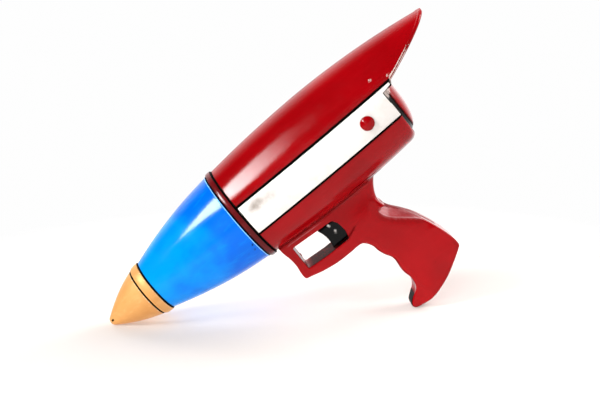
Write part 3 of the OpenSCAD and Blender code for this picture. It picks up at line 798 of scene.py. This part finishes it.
def build_tail():
    r = SHOULDER_R - TIN - 0.1
    flange = SHELL_X1 - 4
    ring = rounded([(255, r - 0.8), (255, r), (flange, r), (flange, 38.5), (flange + 0.8, 38.5),
        (flange + 0.8, r), (SHELL_X1, r), (266.2, 34), (dome_at(DOME_EDGE_R) - 0.2, DOME_EDGE_R),
        (dome_at(DOME_EDGE_R) - 0.2, DOME_EDGE_R - 0.8), (265.8, 33.1), (SHELL_X1 - 0.3, r - 0.8)], 0.3)
    points, faces = turned(ring, 0.05)
    wear = [0.8 * ease(13, 3, hypot(p[2] - 9, abs(p[1]) - 32)) for p in points]
    make_piece("tail_ring", points, faces, BLACK, "black_paint", wear=wear)

    rs = DOME_EDGE_R * np.sqrt(np.linspace(0, 1, 40))
    outside = [(dome_at(q), q) for q in rs]
    under = [(dome_at(q) - 0.8, q) for q in (DOME_EDGE_R - 1.6) * np.linspace(1, 0, 20)]
    profile = outside + [(dome_at(DOME_EDGE_R) - 0.1, DOME_EDGE_R - 0.85), (262, DOME_EDGE_R - 0.85),
        (262, DOME_EDGE_R - 1.6)] + under
    points, faces = turned(profile, 0.1)
    crease = [0.6 * ease(DOME_EDGE_R - 3, DOME_EDGE_R, hypot(p[1], p[2])) for p in points]
    wear = [0.75 * ease(9, 2, hypot(p[2] - 8, abs(p[1]) - 31)) for p in points]
    make_piece("tail_cap", points, faces[:-SIDES], RED, "red_paint", crease=crease, wear=wear)


# ---- guard and grip


def smooth_loop(path, steps):
    """A smooth closed curve through the points of path."""
    p = [np.array(q, float) for q in path]
    m = len(p)
    result = []
    for i in range(m):
        a, b, c, d = p[i - 1], p[i], p[(i + 1) % m], p[(i + 2) % m]
        for k in range(steps):
            t = k / steps
            result.append(tuple((2 * b + (c - a) * t + (2 * a - 5 * b + 4 * c - d) * t * t
                + (3 * b - a - 3 * c + d) * t**3) / 2))
    return result


def roof_at(x):
    """How high the frame's side reaches: to the body's surface, higher where it flares at the rear."""
    spread = FRAME_HALF + 0.4 + 6.5 * ease(182, 206, x)
    return -sqrt(max(1.0, body_at(x) ** 2 - spread**2)) + 0.4


def smooth_open(path, steps):
    """A smooth open curve through the points of path."""
    path = np.array(path)
    whole = smooth_loop([2 * path[0] - path[1], *path, 2 * path[-1] - path[-2]], steps)
    return whole[steps:steps * len(path) + 1]


def scoop_depth(flat):
    """Depth of the hollow for the web of the thumb, between its near edge and the grip's back."""
    line = np.array(smooth_open(SCOOP_LINE, CURVE_STEPS))
    beyond = inside(flat, np.concatenate([line, line[::-1] + (14, 12)]))
    nearest = np.argmin(np.linalg.norm(flat[:, None] - line, axis=2), axis=1) / (len(line) - 1)
    fade = smoothstep(0, 0.15, nearest) * smoothstep(1.0, 0.85, nearest)
    return np.where(beyond, distance_to(flat, [line], False) * SCOOP_SLOPE * fade, 0)


def half_width(x, z, edge, r, scoop):
    """Half the frame's width at (x, z), edge from its outline and scoop from the hollow's edge."""
    width = FRAME_HALF - drop(r, edge)
    width -= 0.5 * ease(13, 0, edge) * ease(-70, -90, z)
    line = -sqrt(body_at(x) ** 2 - FRAME_HALF**2)
    neck = ease(170, 200, x)
    width -= 1.7 * neck * ease(-66, line - 3, z)
    width += neck * 0.3 * max(0.0, z - line + 2.5) ** 2
    width -= 0.7 * ease(7, 0, scoop)
    width -= 4.5 * ease(18, 3, hypot(x - 183, z + 139))
    if z > line - 1.8:
        width -= (1 - neck) * 0.7 * min(1.0, (z - line + 1.8) / 1.2) ** 2
    return width


def build_frame(side, name):
    outline = smooth_loop(FRAME_PATH, CURVE_STEPS)
    radii = np.array([r for _, _, r in outline])
    outline = [(x, min(z, roof_at(x))) for x, z, _ in outline]
    window = evenly(rounded(WINDOW_PATH, 1.4, 5), 1.2)
    clean = [p for i, p in enumerate(outline) if dist(p, outline[i - 1]) > 0.05]
    loops = [evenly(clean, 1.2), window]
    if side > 0:
        loops += [circle(x, z, SCREW_HOLE_R, 32) for x, z in SCREW_AT]
    scoop = smooth_open(SCOOP_LINE, CURVE_STEPS)
    guides = []
    for line in (scoop, beside(scoop, -0.5), beside(scoop, 0.5)):
        guides.append([p for p, d in zip(line, distance_to(np.array(line), [loops[0]])) if d > 0.3])
    flat, triangles = fill(loops, 1.7, [0.15, 0.4, 0.8, 1.4, 2.2, 3.2, 4.4, 5.8], guides)
    nearest = np.argmin(np.linalg.norm(flat[:, None] - np.array(outline), axis=2), axis=1)
    roofed = [z > roof_at(x) - 4.5 and 135 < x < 219 for x, z in flat]
    edge = np.where(roofed, 9, distance_to(flat, [loops[0]]))
    window_edge = distance_to(flat, [window])
    hollow = scoop_depth(flat)
    scoop_edge = distance_to(flat, [scoop], False)
    points = []
    for (x, z), d, w, r, h, e in zip(flat, edge, window_edge, radii[nearest], hollow, scoop_edge):
        points.append((x, side * max(1.5, half_width(x, z, d, r, e) - drop(WINDOW_LIP, w) - h), z))
    faces = [tuple(t) for t in triangles]
    for a, b in edges_round(triangles):
        faces += wall(points, a, b, side)
    crease, rub = frame_values(points)
    make_piece(name, points, faces, RED, "red_paint", sharp=48, thickness=0.9, crease=crease, rub=rub)


def beside(line, gap):
    """The points of an open line moved sideways by gap."""
    path = np.array(line)
    along = np.gradient(path, axis=0)
    along /= np.linalg.norm(along, axis=1)[:, None]
    return [tuple(p) for p in path + gap * np.column_stack([-along[:, 1], along[:, 0]])]


wall_cache = {}


def wall(points, a, b, side):
    """Faces from one open side of the frame's skin in to the seam, or to the trigger's way through."""
    rows = 7
    ends = []
    for v in (a, b):
        x, y, z = points[v]
        key = (round(x, 4), round(z, 4))
        if key not in wall_cache:
            behind_trigger = 170 < x < 181 and -65.6 < z < -45.4
            counterbore = side > 0 and min(dist((x, z), s) for s in SCREW_AT) < SCREW_HOLE_R + 0.15
            stop = TRIGGER_HIGH.y + 0.35 if behind_trigger else FRAME_HALF - 1.6 if counterbore else HAIR
            column = [v]
            for k in range(1, rows):
                s = k / (rows - 1)
                points.append((x, side * (abs(y) + (stop - abs(y)) * s), z))
                column.append(len(points) - 1)
            wall_cache[key] = column
        ends.append(wall_cache[key])
    left, right = ends
    return [(right[k], left[k], left[k + 1], right[k + 1]) for k in range(rows - 1)]


def frame_values(points):
    """Dark paint and painted shade in the frame's creases, window and toe; painted highlights and sheen on
    ridge and hollow.
    """
    flat = np.array([(p[0], p[2]) for p in points])
    near = distance_to(flat, [rounded(WINDOW_PATH, 1.4, 5)])
    hollow = smoothstep(0.1, 1.2, scoop_depth(flat))
    scoop_edge = distance_to(flat, [smooth_open(SCOOP_LINE, CURVE_STEPS)], False)
    creases, rubs = [], []
    for (x, y, z), w, h, e in zip(points, near, hollow, scoop_edge):
        depth = FRAME_HALF - abs(y)
        top = -sqrt(body_at(x) ** 2 - FRAME_HALF**2) - z
        rear = ease(213, 225, x)
        # a dark wash and painted shade where the frame meets the body; a painted highlight on the ridge
        # below it
        dark = [0.34 * ease(2.4, 0.6, top)]
        sheen_parts = [0.5 * bumps(top, [(2.3, 0.25)]) * ease(137, 143, x) * ease(172, 160, x)]
        # in the hollow: a painted pink sheen, turning to painted shade towards its rear
        if depth > 0.5 and e > 0.2:
            dark.append(0.3 * rear * h)
            sheen_parts.append((0.36 - 0.2 * rear) * h)
        # a painted highlight line along the hollow's near edge
        if e < 0.3 or depth > 0.5:
            sheen_parts.append(0.85 * bumps(e, [(0, 0.26)]) * ease(-63, -70, z) * ease(-92, -86, z))
        # dark paint on the window's walls, deepest on the lower ledge, and a painted black shadow under the
        # trigger's rear
        if w < 0.3 and depth > 0.6:
            dark += [0.3 + 0.26 * ease(-60, -64, z) * ease(140, 146, x), 0.9 * ease(163, 172, x)]
        # a band of painted shade below the hollow's edge
        if h < 0.3 and depth < 3:
            dark.append(0.2 * bumps(e, [(2, 1.6)]) * ease(-62, -68, z) * ease(-96, -90, z))
        # painted shade on the finger side's edges and in the toe
        if 180 < x < 200 and (-126 < z < -75 and depth > 1.4 or z <= -126 and abs(y) < 7.5):
            dark.append(0.36)
        # painted shade in the crease behind the trigger
        if w > 0.2:
            behind = hypot(max(0, 176 - x, x - 186), 1.6 * (z + 64.5 - 0.35 * (x - 177)))
            dark.append(0.5 * ease(3.2, 0, behind))
        # painted shade inside the toe's hook
        if x < 200 and z < -124 and abs(y) < 7.5:
            dark.append(0.75 * ease(9, 3, hypot(x - 185, z + 136.5)))
        # the grip's back edge: painted shade, and less of the painted sheen
        inner = abs(y) < 5 and x > 205 and z < -60 and e < 8
        creases.append(max(dark + [0.4 * inner]))
        rubs.append(max(sheen_parts) * (0.3 if inner else 1))
    return creases, rubs


# ---- trigger, plug and spring


def build_trigger():
    """The black trigger: a hollowed face, rounded all round, open behind for its spring."""
    rear = TRIGGER_HIGH.x
    face = smooth_open(TRIGGER_FACE, 5)
    outline = rounded([(rear, TRIGGER_HIGH.z)] + face + [(rear, TRIGGER_LOW.z)], 0.8, 4)
    loops = [evenly(outline, 0.9)]
    flat, triangles = fill(loops, 1.4, [0.12, 0.35, 0.7, 1.2])
    edge = distance_to(flat, loops)
    behind = flat[:, 0] > rear - 1.6
    width = TRIGGER_HIGH.y - drop(1.3, np.where(behind, 9, edge))
    points = [(x, side * w, z) for side in (-1, 1) for (x, z), w in zip(flat, width)]
    count = len(flat)
    faces = [tuple(t) for t in triangles] + [tuple(count + v for v in t[::-1]) for t in triangles]
    steps = 9
    for a, b in edges_round(triangles):
        if flat[a][0] > rear - 0.05 and flat[b][0] > rear - 0.05:
            continue
        columns = []
        for v in (a, b):
            column = [v]
            for k in range(1, steps):
                s = k / steps
                points.append((flat[v][0], -width[v] + 2 * width[v] * s, flat[v][1]))
                column.append(len(points) - 1)
            columns.append(column + [count + v])
        left, right = columns
        faces += [(right[k], left[k], left[k + 1], right[k + 1]) for k in range(steps)]
    # two painted near-white glints on the trigger's left face
    painted_glints = ((172, -48.3, 0.65), (173.5, -55.3, 0.6))
    wear = [max(1.5 * ease(r + 0.5, r - 0.4, dist((px, pz), (x, z))) for x, z, r in painted_glints) * (py < -3)
        for px, py, pz in points]
    make_piece("trigger", points, faces, PLASTIC, "black_plastic", "trigger", 55, 1.2, wear=wear)


def build_plug():
    """The filler plug's domed head on its stem, with a moulded lip round the dome."""
    face_y = 41.7
    out = [(0, 3.8), (1.6, 3.66), (2.9, 3.3), (3.9, 2.7), (4.35, 2.15), (4.6, 1.95), (PLUG_R - 0.35, 1.75),
        (PLUG_R, 1.3), (PLUG_R, 0.35), (PLUG_R - 0.3, 0), (3.4, 0), (3.4, -10.4), (3.1, -10.7), (0, -10.7)]
    profile = rounded(out, 0.5, 4, False)
    count = 64
    points = []
    for r, height in profile:
        for k in range(count):
            a = 2 * pi * k / count
            wobble = 1 + 0.012 * sin(3 * a + 1) + 0.008 * sin(7 * a)
            q = r * wobble
            points.append((PLUG_X + q * cos(a), -face_y - height, q * sin(a)))
    faces = grid_faces(len(profile), count, False, True)
    crease = [0.5 * ease(0.7, 0, -p[1] - face_y) for p in points]
    make_piece("filler_plug", points, faces, RED, "red_plastic", "plug", 50, crease=crease)


def build_spring():
    """The coil spring that shortens as the trigger goes back, with its end turns lying closed."""
    wire, turns, per_turn, sides = 0.35, 7.5, 40, 10
    axis_z = (SPRING_LOW.z + SPRING_HIGH.z) / 2
    r = SPRING_HIGH.y - wire
    rings = int(turns * per_turn) + 1
    points = []
    for i in range(rings):
        s = i / (rings - 1)
        t = float(np.interp(s, [0, 0.13, 0.87, 1], [0, 0.055, 0.945, 1]))
        a = 2 * pi * turns * s
        x = SPRING_LOW.x + wire + (SPRING_HIGH.x - SPRING_LOW.x - 2 * wire) * t
        for k in range(sides):
            b = 2 * pi * k / sides
            q = r + wire * cos(b)
            points.append((x + wire * sin(b), q * cos(a), axis_z + q * sin(a)))
    faces = grid_faces(rings, sides, False, True)
    faces += [tuple(range(sides)), tuple(range((rings - 1) * sides, rings * sides))[::-1]]
    spring = make_piece("return_spring", points, faces, STEEL, "plated_steel", sharp=60)
    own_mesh(spring)


# ---- studio


def along(n, direction, axis, low, high):
    """Runs from 0 to 1 while the direction's part along axis runs from low to high."""
    part = n.new("ShaderNodeVectorMath", {0: direction, 1: axis}, output="Value", operation="DOT_PRODUCT")
    return n.step(part, low, high)


def softbox(n, direction):
    """The square softbox above the left side, one corner towards the muzzle, dimmer at its rear."""
    middle, half, soft = (-0.183, -0.341), 0.207, 0.022
    shape = along(n, direction, (0, 0, 1), 0.0, 0.1)
    for axis in ((-0.79, -0.61, 0), (0.61, -0.79, 0)):
        at = axis[0] * middle[0] + axis[1] * middle[1]
        shape = n.times(shape, along(n, direction, axis, at - half - soft, at - half + soft))
        shape = n.times(shape, along(n, direction, axis, at + half + soft, at + half - soft))
    fade = n.math("POWER", along(n, direction, (-1, 0, 0), 0.05, 0.27), 1.4)
    return n.times(shape, fade)


KEY_LEVEL = 26  # brightness of the softbox, where paper white is 1


def build_world():
    """A white room for the camera; for light, a dark studio with a pale backdrop and one softbox."""
    world = bpy.data.worlds.new("studio")
    bpy.context.scene.world = world
    world.use_nodes = True
    n = Nodes(world.node_tree)
    direction = n.new("ShaderNodeTexCoord", output="Generated")
    room = n.step(along(n, direction, (0, 0, 1), -0.2, 0.08), 0, 1, 0.34, 0.015)
    backdrop = n.times(along(n, direction, (0, 1, 0), 0.45, 1.0), 0.95)
    rays = n.tree.nodes.new("ShaderNodeLightPath")
    soft_share = n.step(rays.outputs["Is Diffuse Ray"], 0, 1, KEY_LEVEL, 0.4 * KEY_LEVEL)
    key = n.times(softbox(n, direction), soft_share)
    window = n.times(along(n, direction, (0.93, 0.3, 0.15), 0.9, 0.97), 3.2)
    level = n.plus(n.plus(room, backdrop), n.plus(key, window))
    level = n.new("ShaderNodeMix", {"Factor": rays.outputs["Is Camera Ray"], "A": level, "B": 0.99},
        data_type="FLOAT")
    shade = n.new("ShaderNodeBackground", {"Color": (1, 1, 1, 1), "Strength": level})
    n.new("ShaderNodeOutputWorld", {"Surface": shade})


def area_light(name, place, target, size, power):
    """A soft light that isn't seen itself or in a reflection."""
    data = bpy.data.lights.new(name, "AREA")
    data.shape = "RECTANGLE"
    data.size, data.size_y = size[0] * MM, size[1] * MM
    data.energy = power
    lamp = add(name, data)
    lamp.location = Vector(place) * MM
    lamp.rotation_euler = (Vector(place) - Vector(target)).to_track_quat("Z", "Y").to_euler()
    lamp.visible_glossy = False
    lamp.visible_camera = False


def build_floor():
    """The pale table under the nose and the grip's toe. It fades out, and its underside isn't drawn."""
    nose = Vector((1, 0, -nose_at(1)))
    toe = min((Vector((x, 0, z)) for x, z, _ in smooth_loop(FRAME_PATH, CURVE_STEPS)),
        key=lambda p: (p.z - nose.z) / max(1, p.x - nose.x))
    along_it = (toe - nose).normalized()
    up = Vector((-along_it.z, 0, along_it.x))
    middle = (nose + toe) / 2 - up * 0.3
    reach, count = 460, 24
    points = []
    for u in np.linspace(-reach, reach, count + 1):
        for v in np.linspace(-reach, reach, count + 1):
            points.append((middle + along_it * u + Vector((0, v, 0))) * MM)
    mesh = bpy.data.meshes.new("floor")
    mesh.from_pydata(points, [], grid_faces(count + 1, count + 1))
    if mesh.polygons[0].normal.dot(up) < 0:
        mesh.flip_normals()
    made = bpy.data.materials.new("pale table")
    made.use_nodes = True
    n = Nodes(made.node_tree)
    tone = n.mix(n.step(n.noise(180, 4), 0.3, 0.7), "#d6d1cd", "#d2ccc8")
    cloth = n.new("ShaderNodeBsdfDiffuse", {"Color": tone, "Roughness": 0.6})
    rays = n.tree.nodes.new("ShaderNodeLightPath")
    bounce = n.times(rays.outputs["Is Diffuse Ray"], 0.5)
    bounce = n.plus(bounce, n.times(rays.outputs["Is Camera Ray"], 0.1))
    glow = n.new("ShaderNodeEmission", {"Color": "#fff2ea", "Strength": bounce})
    lit = n.new("ShaderNodeAddShader", {0: cloth, 1: glow})
    clear = n.new("ShaderNodeBsdfTransparent")
    below = n.new("ShaderNodeNewGeometry", output="Backfacing")
    away = n.new("ShaderNodeVectorMath", {0: n.place(), 1: tuple(middle)}, output="Value",
        operation="DISTANCE")
    hidden = n.math("MAXIMUM", below, n.step(away, 190, 400))
    surface = n.new("ShaderNodeMixShader", {0: hidden, 1: lit, 2: clear})
    n.new("ShaderNodeOutputMaterial", {"Surface": surface})
    mesh.materials.append(made)
    floor = add("floor", mesh)
    floor.visible_glossy = False


def finish_hidden_nodes():
    """Finishes for the working parts, which keep their CAD meshes."""
    finishes = {
        BRASS: "nozzle_jet pump_piston pump_barrel gland_nut inlet_fitting outlet_fitting",
        TINPLATE: "tube_guide front_bulkhead water_tank tank_saddle_front tank_saddle_rear",
        STEEL: "frame_screws inlet_ball outlet_ball",
        RUBBER: "plug_seal piston_ring",
        VINYL: "suction_tube delivery_tube",
        PLASTIC: "valve_block",
    }
    for finish, nodes in finishes.items():
        for node in nodes.split():
            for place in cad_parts[node].material_slots:
                place.material = finish


look_from(azimuth=3.42, elevation=13.04, roll=40.75, distance=1125, target=(168, 0, -21.2), lens=90)
bpy.context.scene.view_settings.view_transform = "Standard"
build_world()
area_light("front_fill", (60, -1100, 420), (150, 0, -30), (900, 700), 10.2)
area_light("back_fill", (120, 800, 560), (150, 0, -30), (900, 600), 13)
area_light("side_fill", (900, 250, -60), (230, 0, -20), (600, 600), 8)
build_floor()
build_nose()
build_barrel()
build_band()
for side, word in ((-1, "left"), (1, "right")):
    build_shell(side, "shell_" + word)
    build_panel(side, "side_panel_" + word)
    wall_cache.clear()
    build_frame(side, "frame_" + word)
build_tail()
build_trigger()
build_plug()
build_spring()
finish_hidden_nodes()

bpy.context.view_layer.update()
